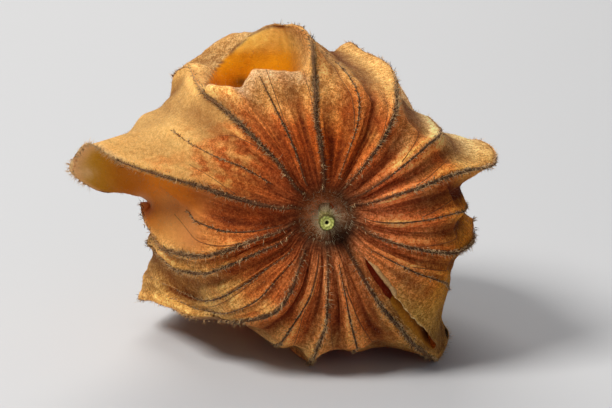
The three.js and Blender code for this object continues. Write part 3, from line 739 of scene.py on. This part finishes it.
for share, colours in (
    (in_hollow, hollow_glow),
    (in_pocket, pocket_wall),
    (0.85 * tip_edge, srgb(244, 216, 158)),
    (0.6 * lip_highlight, srgb(232, 198, 148)),
    (0.8 * cleft_shadow, srgb(0, 0, 0)),
    (0.6 * outer_rim, srgb(224, 178, 108)),
    (0.7 * rim, srgb(122, 92, 60)),
    (0.85 * nook, srgb(232, 206, 168)),
    (0.8 * stain, srgb(66, 46, 30)),
):
    skin = blend(skin, share, colours)
pale_left = between_lines("PP", "W", 1.5) * fade_in(tone_run, 10, 3)
plainness = np.clip(in_hollow + in_pocket + 0.6 * pale_left, 0, 0.85)
curled_edge = blend(skin[tear], np.full(ROWS, 0.8), srgb(235, 205, 140))

husk = make("husk_skin", to_frame(skin_points), skin_faces, paper_material("husk_paper"))
paint(husk, np.concatenate([skin.reshape(-1, 3), skin[tear], curled_edge]))
layer = husk.data.attributes.new("smooth", "FLOAT", "POINT")
layer.data.foreach_set("value", np.concatenate([plainness.ravel(), np.zeros(2 * ROWS)]))
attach(husk, "root")
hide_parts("husk")

# The tear: a dark sheet of painted shade inside its upper half, a smooth fold under its lower half, and the
# paper torn loose that curls back over its upper edge.
torn_rows = np.nonzero(open_half > 0)[0]
torn_reach = reach[tear, torn_rows]


def strip(name, rows, profile, colours, material):
    """A ribbon along the tear. The profile gives side and height of its points for each row."""
    count = len(colours)
    points = [grid[tear, r] + tangent[tear, r] * aside + normal[tear, r] * high
              for r in rows for aside, high in profile(r)]
    quads = [(i * count + k, i * count + k + 1, (i + 1) * count + k + 1, (i + 1) * count + k)
             for i in range(len(rows) - 1) for k in range(count - 1)]
    ribbon = make(name, to_frame(points), quads, material)
    paint(ribbon, [srgb(*colour) for r in rows for colour in colours])
    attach(ribbon, "root")


def fold(r):
    half = open_half[r]
    wide = np.interp(reach[tear, r], (125, 150), (0.8, 1.8))
    return [(-half - 0.12, -0.06), (-half * 0.6, -0.2), (0, -0.34), (half * 0.6, -0.5), (half + 0.35, -0.62),
            (half + wide, -wide)]


# A dark red sheet just inside the tear: painted shade of the husk's inside.
def shade_sheet(r):
    half = open_half[r] + 0.3
    return [(-half, -0.5), (-half * 0.4, -0.8), (half * 0.2, -1.0), (half * 0.8, -1.15)]


def curl(r):
    half = open_half[r]
    wide = np.interp(reach[tear, r], (54, 66, 80, 96, 101), (0.1, 0.55, 0.7, 0.95, 0.3))
    wide = wide * (0.8 + 0.4 * noise(r * 1.3, 0.0, 21))
    return [(half, 0.16 * half), (half - 0.05, 0.2 * wide), (half + 0.12 * wide, 0.34 * wide),
            (half + 0.34 * wide, 0.34 * wide), (half + 0.55 * wide, 0.2 * wide), (half + 0.66 * wide, 0.05)]


# The fold's tints darken towards its deep end under the tear's edge: painted shade.
FOLD_TINTS = ((180, 122, 38), (172, 112, 26), (158, 98, 18), (130, 76, 12), (96, 52, 8), (60, 30, 6))
# The sheet inside the tear: dark red painted shade.
SHADE_SHEET_TINTS = ((120, 40, 14), (146, 50, 18), (132, 44, 14), (96, 30, 10))
CURL_TINTS = (
    (206, 168, 110), (226, 192, 140), (208, 170, 118), (192, 148, 96), (178, 128, 76), (160, 104, 56),
)
fold_grain = ((0.36, (0.6, 0.55, 0.5)), (0.64, (1.35, 1.35, 1.35)))
fold_paper = tinted_material("fold_paper", 4200.0, fold_grain, 0.85)
lower_rows = torn_rows[(torn_reach > 98) & (torn_reach < 168)]
inner_rows = torn_rows[torn_reach < 106]
upper_rows = torn_rows[(torn_reach > 54) & (torn_reach < 101)]
strip("tear_shade_sheet", inner_rows, shade_sheet, SHADE_SHEET_TINTS, fold_paper)
strip("tear_fold", lower_rows, fold, FOLD_TINTS, fold_paper)
strip("torn_curl", upper_rows, curl, CURL_TINTS, fold_paper)

# Raised ribs and veins: tapering cords half sunk in the skin.
CORD_SIDES = 6
CORD_RADIUS = 0.85  # for a thickness of one
VEINS = (  # line, first and last share of the rows, thickness
    ("R1", 0.10, 0.97, 0.17), ("K", 0.14, 0.9, 0.12), ("L", 0.12, 0.95, 0.15), ("M", 0.2, 0.75, 0.07),
    ("T1", 0.1, 0.97, 0.19), ("Q", 0.18, 0.40, 0.11), ("P", 0.12, 0.95, 0.16), ("R", 0.3, 0.48, 0.06),
    ("L1", 0.1, 0.5, 0.2), ("W", 0.2, 0.43, 0.1), ("A", 0.12, 0.95, 0.16), ("B", 0.14, 0.93, 0.13),
    ("C", 0.2, 0.75, 0.09), ("D", 0.22, 0.6, 0.07), ("E", 0.16, 0.97, 0.2), ("F", 0.16, 0.8, 0.11),
    ("G", 0.14, 0.95, 0.14), ("H", 0.2, 0.8, 0.1), ("I", 0.12, 0.97, 0.2), ("J2", 0.22, 0.7, 0.08),
    ("J", 0.12, 0.95, 0.17), ("V", 0.16, 0.7, 0.09),
)
SIDE_VEINS = (  # line, how many lines it drifts from it, first and last row, thickness
    ("M", 0.7, 22, 50, 0.06), ("H", 0.9, 14, 44, 0.08), ("G", 1.1, 18, 40, 0.05), ("T1", 0.5, 22, 46, 0.05),
    ("Q", -0.5, 24, 50, 0.05), ("P", 1.0, 22, 40, 0.05), ("L1", -1.0, 22, 38, 0.05),
    ("V", 1.1, 22, 44, 0.05), ("J", 0.9, 22, 44, 0.05), ("J2", 1.0, 22, 44, 0.05), ("K", 0.9, 22, 42, 0.05),
    ("R1", 0.9, 22, 42, 0.05), ("L", 0.6, 22, 44, 0.05), ("A", -0.7, 20, 46, 0.06), ("C", 0.5, 20, 44, 0.05),
    ("F", 1.0, 20, 42, 0.05),
)
cord_points, cord_faces, cord_tints, rib_paths = [], [], [], []


def add_cord(path, out, radius, lift, tints):
    """Rings round a path, raised by a share of their radius, joined to the mesh of all cords."""
    path = path + out * (radius * lift)[:, None]
    along = unit(np.gradient(path, axis=0))
    across = unit(np.cross(along, out))
    up = np.cross(across, along) * 1.1
    angles = (np.arange(CORD_SIDES) * 2 * math.pi / CORD_SIDES)[None, :, None]
    ring = (across[:, None] * np.cos(angles) + up[:, None] * np.sin(angles)) * radius[:, None, None]
    start = sum(len(points) for points in cord_points)
    last = start + (len(path) - 1) * CORD_SIDES
    for first in range(start, last, CORD_SIDES):
        second = first + CORD_SIDES
        for k in range(CORD_SIDES):
            beside = (k + 1) % CORD_SIDES
            cord_faces.append((first + k, first + beside, second + beside, second + k))
    cord_faces.append(tuple(start + k for k in range(CORD_SIDES))[::-1])
    cord_faces.append(tuple(last + k for k in range(CORD_SIDES)))
    cord_points.append((path[:, None] + ring).reshape(-1, 3))
    cord_tints.append(np.repeat(tints, CORD_SIDES, 0))


def at_place(array, where):
    """The column of an array at a place between lines."""
    i = int(math.floor(where * PER_LINE)) % COLUMNS
    share = where * PER_LINE - math.floor(where * PER_LINE)
    return array[i] * (1 - share) + array[(i + 1) % COLUMNS] * share


def cord_tint(rows):
    """Dark brown on the face, fading to the paper's tan over the shoulder."""
    return stops(rows, (
        (0, (104, 62, 34)), (14, (84, 50, 28)), (22, (66, 42, 24)), (BROW - 4, (78, 54, 34)),
        (EDGE, (106, 78, 50)), (TURN, (176, 134, 84)),
    ))


for name, first, last, thick in VEINS:
    start, end = int(first * ROWS * 0.5), int(last * (ROWS - 1))
    path = at_place(grid, line_of[name])[start:end]
    out = at_place(normal, line_of[name])[start:end]
    rows = np.arange(start, end)
    share = np.linspace(0, 1, len(path))
    swell = 0.5 + 0.45 * fade_in(share, 0, 0.15)
    taper = 1 - 0.55 * fade_in(share, 0.5, 0.5)
    knots = 0.7 + 0.6 * noise(share * 90, share * 0 + line_of[name], 5)
    behind_edge = 1 - 0.6 * fade_in(rows, EDGE, 8)
    radius = thick * CORD_RADIUS * swell * taper * knots * behind_edge
    pale = 0.55 * fade_out(thick, 0.1, 0.04) * fade_in(share, 0.3, 0.5)
    add_cord(path, out, radius, 0.35, blend(cord_tint(rows), pale, srgb(168, 120, 72)))
    rib_paths.append((path, out, thick, start))
for name, shift, first, last, thick in SIDE_VEINS:
    rows = np.arange(first, last)
    where = (line_of[name] + np.linspace(0.2, 1, len(rows)) * shift) % N_LINES
    path = np.array([at_place(grid, w)[r] for w, r in zip(where, rows)])
    out = np.array([at_place(normal, w)[r] for w, r in zip(where, rows)])
    radius = thick * CORD_RADIUS * np.linspace(1, 0.4, len(rows))
    add_cord(path, out, radius, 0.3, blend(cord_tint(rows), np.full(len(rows), 0.4), srgb(150, 86, 44)))
all_cords = np.concatenate(cord_points)
all_cords[:, 2] = np.maximum(all_cords[:, 2], FLOOR + CLEAR)
rib_grain = ((0.38, (0.5, 0.44, 0.4)), (0.62, (2.3, 2.1, 1.8)))
cord_material = tinted_material("husk_rib", 5200.0, rib_grain, 0.8)
cords = make("husk_ribs", to_frame(all_cords), cord_faces, cord_material)
paint(cords, np.concatenate(cord_tints))
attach(cords, "root")


def spikes(name, roots, directions, lengths, width, material):
    """Hairs as thin three-sided spikes, each bent a little at random."""
    count = len(roots)
    along = unit(directions)
    helper = np.where(np.abs(along[:, 2:3]) < 0.9, np.array([[0, 0, 1.0]]), np.array([[1.0, 0, 0]]))
    first = unit(np.cross(along, helper))
    second = np.cross(along, first)
    bend = rng.normal(0, 0.22, (count, 3)) * lengths[:, None]
    tips = roots + along * lengths[:, None] + bend
    corners = [roots + (first * math.cos(angle) + second * math.sin(angle)) * width
               for angle in (0, 2 * math.pi / 3, 4 * math.pi / 3)]
    points = np.stack(corners + [tips], 1).reshape(-1, 3)
    points[:, 2] = np.maximum(points[:, 2], FLOOR + CLEAR)
    start = np.arange(count) * 4
    sides = np.concatenate([np.stack([start + k, start + (k + 1) % 3, start + 3], 1) for k in range(3)])
    hairs = make(name, to_frame(points), sides.tolist(), material, smooth=False)
    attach(hairs, "root")


# Hairs along the ribs, thickest on the face's keels.
pale_hair = hair_material("pale_hair", srgb(188, 158, 118), 0.4)
dark_hair = hair_material("dark_hair", srgb(66, 42, 26), 0.2)
rib_hair = hair_material("rib_hair", srgb(226, 192, 140), 0.35)
KEEL = 0.12  # a rib thicker than this has more and longer hairs
roots, directions, lengths = [], [], []
for path, out, thick, first_row in rib_paths:
    rib_length = np.linalg.norm(np.diff(path, axis=0), axis=1).sum()
    count = int(rib_length * (38 if thick > KEEL else 20))
    where = np.sort(rng.random(count)) * (len(path) - 1.01)
    chance = np.interp(where + first_row, (8, 24, EDGE - 2, TURN), (0.1, 1, 1, 0.15))
    where = where[rng.random(count) < chance]
    count = len(where)
    i = where.astype(int)
    share = (where - i)[:, None]
    at = path[i] * (1 - share) + path[i + 1] * share
    along = unit(path[i + 1] - path[i])
    across = np.cross(along, out[i])
    lean = rng.normal(0, 0.9, (count, 1))
    roots.append(at + across * rng.normal(0, thick * 0.95, (count, 1)))
    directions.append(out[i] * 0.8 + across * lean + along * rng.normal(0.25, 0.4, (count, 1)))
    lengths.append(rng.uniform(0.18, 0.6, count) * (1.0 if thick > KEEL else 0.7))
roots, directions, lengths = np.concatenate(roots), np.concatenate(directions), np.concatenate(lengths)
pick = rng.random(len(roots)) < 0.55
spikes("rib_hairs_pale", roots[pick], directions[pick], lengths[pick], 0.037, rib_hair)
spikes("rib_hairs_dark", roots[~pick], directions[~pick], lengths[~pick] * 0.8, 0.037, dark_hair)

# A fringe along the edge of the left wing.
FRINGE = 900
rows = rng.integers(EDGE - 1, FLANK + 5, FRINGE)
columns = (line_of["L1"] * PER_LINE + rng.integers(-1, 2, FRINGE)) % COLUMNS
directions = normal[columns, rows] + rng.normal(0, 0.45, (FRINGE, 3))
spikes("wing_fringe", grid[columns, rows], directions, rng.uniform(0.2, 0.7, FRINGE), 0.02, rib_hair)

# Short fuzz over the whole skin, spread by the size of its cells.
FUZZ = 16000
columns = rng.integers(0, COLUMNS, FUZZ * 3)
rows = rng.integers(8, ROWS - 2, FUZZ * 3)
beside = (columns + 1) % COLUMNS
cell_width = np.linalg.norm(grid[beside, rows] - grid[columns, rows], axis=1)
cell_height = np.linalg.norm(grid[columns, rows + 1] - grid[columns, rows], axis=1)
cell = cell_width * cell_height
keep = np.argsort(-(cell / cell.max()) ** 0.6 * rng.random(len(cell)))[:FUZZ]
columns, rows, beside = columns[keep], rows[keep], beside[keep]
across_share, down_share = rng.random((FUZZ, 1)), rng.random((FUZZ, 1))
upper = grid[columns, rows] * (1 - across_share) + grid[beside, rows] * across_share
lower = grid[columns, rows + 1] * (1 - across_share) + grid[beside, rows + 1] * across_share
roots = upper * (1 - down_share) + lower * down_share
directions = normal[columns, rows] + rng.normal(0, 0.6, (FUZZ, 3))
spikes("skin_fuzz", roots, directions, rng.uniform(0.08, 0.28, FUZZ), 0.012, pale_hair)

# The stem: a finely ridged stub with its cut face, pith ring and hole, the hole dark with painted shade.
STEM_FOOT, STEM_END = np.array([-0.2, 5.2, 0.1]), np.array([0, -1.6, 0.46])
STEM_SIDES = 40
LENGTH = np.linalg.norm(STEM_END - STEM_FOOT)
stem_along = (STEM_END - STEM_FOOT) / LENGTH
stem_side = np.cross(stem_along, (0, 0, 1.0))
stem_side /= np.linalg.norm(stem_side)
stem_up = np.cross(stem_along, stem_side)
BARK, CUT_EDGE, WOOD, PITH_EDGE = (122, 112, 60), (84, 74, 34), (186, 190, 104), (142, 146, 62)
# The hole's colour is painted shade.
PITH, HOLE_SHADE = (206, 206, 130), (46, 40, 20)
STEM_RINGS = (  # radius, height, colour
    (0.6, 0.0, BARK), (0.68, 2.0, BARK), (0.74, 5.0, BARK), (0.78, LENGTH - 0.5, BARK),
    (0.80, LENGTH - 0.22, CUT_EDGE), (0.78, LENGTH - 0.06, CUT_EDGE), (0.70, LENGTH, CUT_EDGE),
    (0.60, LENGTH - 0.02, WOOD), (0.5, LENGTH - 0.05, WOOD), (0.42, LENGTH - 0.03, PITH_EDGE),
    (0.30, LENGTH - 0.07, PITH), (0.2, LENGTH - 0.12, PITH), (0.16, LENGTH - 0.3, HOLE_SHADE),
    (0.13, LENGTH - 0.7, HOLE_SHADE),
)
HOLE_RADIUS = 0.25  # inside it the rings are plain circles
stem_points, stem_faces, stem_tints = [], [], []
for j, (radius, height, colour) in enumerate(STEM_RINGS):
    for k in range(STEM_SIDES):
        angle = 2 * math.pi * k / STEM_SIDES
        wobble = 1
        if radius > HOLE_RADIUS:
            wobble += 0.022 * math.cos(5 * angle + 0.7) + 0.028 * math.cos(11 * angle)
            wobble += 0.02 * math.cos(3 * angle + 2)
        lift = 0.03 * math.sin(3 * angle + radius * 9) if height > LENGTH - 0.4 else 0
        out = stem_side * math.cos(angle) + stem_up * math.sin(angle)
        stem_points.append(STEM_FOOT + stem_along * (height + lift) + out * radius * wobble)
        mottle = 0.5 + 0.8 * math.sin(k * 2.3 + j) ** 2 if colour == WOOD else 1
        stem_tints.append(srgb(*colour) * mottle)
for j in range(len(STEM_RINGS) - 1):
    for k in range(STEM_SIDES):
        beside = (k + 1) % STEM_SIDES
        first, second = j * STEM_SIDES, (j + 1) * STEM_SIDES
        stem_faces.append((first + k, second + k, second + beside, first + beside))
stem_faces.append(tuple((len(STEM_RINGS) - 1) * STEM_SIDES + k for k in range(STEM_SIDES)))
stem_faces.append(tuple(range(STEM_SIDES))[::-1])
stem_grain = ((0.35, (0.6, 0.55, 0.45)), (0.65, (1.25, 1.25, 1.2)))
stem_material = tinted_material("stem_wood", 5000.0, stem_grain, 0.7)
stem = make("stem_stub", to_frame(stem_points), stem_faces, stem_material)
paint(stem, stem_tints)
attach(stem, "root")
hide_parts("stem")

# Fuzz round the stem and in the collar.
STEM_FUZZ = 420
angle = rng.random((STEM_FUZZ, 1)) * 2 * math.pi
height = LENGTH - rng.random((STEM_FUZZ, 1)) ** 0.7 * 3.0 - 0.05
out = stem_side * np.cos(angle) + stem_up * np.sin(angle)
roots = STEM_FOOT + stem_along * height + out * 0.76
directions = out + stem_along * rng.normal(0.05, 0.4, (STEM_FUZZ, 1)) + rng.normal(0, 0.2, (STEM_FUZZ, 3))
stem_hair = hair_material("stem_hair", srgb(206, 188, 150), 0.4)
spikes("stem_fuzz", roots, directions, rng.uniform(0.5, 1.2, STEM_FUZZ), 0.013, stem_hair)
columns, rows = rng.integers(0, COLUMNS, STEM_FUZZ), rng.integers(0, 5, STEM_FUZZ)
outwards = unit(grid[columns, rows + 1] - grid[columns, rows])
directions = normal[columns, rows] * 0.4 + outwards * rng.normal(0.9, 0.4, (STEM_FUZZ, 1))
directions = directions + rng.normal(0, 0.2, (STEM_FUZZ, 3))
spikes("collar_fuzz", grid[columns, rows], directions, rng.uniform(0.25, 0.7, STEM_FUZZ), 0.018, stem_hair)

# The berry inside: round, a little flattened, with a small scar at its foot.
BERRY_RADIUS = 8.28
BERRY_CENTRE = np.array([-0.8, 13.8, -1.3])
SEGMENTS, BERRY_RINGS = 72, 40
berry_points, berry_faces = [], []
for j in range(BERRY_RINGS + 1):
    down = math.pi * j / BERRY_RINGS
    dimples = 1 - 0.03 * math.exp(-(down / 0.25) ** 2) - 0.012 * math.exp(-((math.pi - down) / 0.2) ** 2)
    for k in range(SEGMENTS):
        angle = 2 * math.pi * k / SEGMENTS
        radius = BERRY_RADIUS * dimples * (1 - 0.004 * (1 + math.cos(2 * angle)) * math.sin(down))
        out = np.array([math.sin(down) * math.cos(angle), -math.cos(down), math.sin(down) * math.sin(angle)])
        berry_points.append(BERRY_CENTRE + out * radius)
for first in range(0, BERRY_RINGS * SEGMENTS, SEGMENTS):
    second = first + SEGMENTS
    for k in range(SEGMENTS):
        beside = (k + 1) % SEGMENTS
        berry_faces.append((first + k, first + beside, second + beside, second + k))
berry_material = fruit_material("berry_skin", srgb(196, 96, 16), srgb(224, 136, 34))
berry = make("berry_fruit", to_frame(berry_points), berry_faces, berry_material)
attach(berry, "root")
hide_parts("berry")

# Floor, light and camera.
bpy.ops.mesh.primitive_plane_add(size=4.0, location=(0, 0, -0.00003))
floor = bpy.context.object
floor.name = "floor"
floor_material, floor_tree = new_material("floor_pale")
floor_shader = node(floor_tree, "ShaderNodeBsdfPrincipled", Roughness=0.8)
floor_shader.inputs["Base Color"].default_value = (0.5, 0.51, 0.53, 1)
finish_material(floor_tree, floor_shader.outputs[0])
floor.data.materials.append(floor_material)

world = bpy.data.worlds.new("studio")
bpy.context.scene.world = world
world.use_nodes = True
background = world.node_tree.nodes.get("Background") or world.node_tree.nodes.new("ShaderNodeBackground")
background.inputs[0].default_value = (0.85, 0.9, 1.0, 1)
background.inputs[1].default_value = 0.19
LIT_POINT = (0, 0, 0.016)


def area_light(name, spot, size, power, colour):
    """A rectangular light that shines on the husk."""
    light_data = bpy.data.lights.new(name, "AREA")
    light_data.shape = "RECTANGLE"
    light_data.size, light_data.size_y = size
    light_data.energy = power
    light_data.color = colour
    light = bpy.data.objects.new(name, light_data)
    bpy.context.scene.collection.objects.link(light)
    light.location = spot
    light.rotation_euler = (Vector(LIT_POINT) - Vector(spot)).to_track_quat("-Z", "Y").to_euler()


area_light("key", (-0.22, -0.16, 0.38), (0.18, 0.18), 2.3, (1.0, 0.97, 0.92))
area_light("back", (-0.06, 0.36, 0.30), (0.3, 0.2), 1.3, (1.0, 0.96, 0.9))
area_light("fill", (0.25, -0.45, 0.18), (0.35, 0.35), 0.22, (0.95, 0.97, 1.0))

SENSOR = 36.0
photo_wide, photo_high = PHOTO_SIZE
camera_data = bpy.data.cameras.new("camera")
camera = bpy.data.objects.new("camera", camera_data)
bpy.context.scene.collection.objects.link(camera)
camera_data.sensor_width = SENSOR
camera_data.lens = DISTANCE * SENSOR / (photo_wide * UNIT)
camera_data.shift_x = (photo_wide / 2 - STEM_PIXEL[0]) / photo_wide
camera_data.shift_y = (STEM_PIXEL[1] - photo_high / 2) / photo_wide
camera_data.clip_start = 0.01
view_forward = np.array([0, math.cos(LEAN), -math.sin(LEAN)])
camera.location = to_frame(-view_forward * DISTANCE)
camera.rotation_euler = (math.radians(90) - LEAN, 0, 0)
bpy.context.scene.camera = camera
bpy.context.scene.view_settings.view_transform = "Standard"
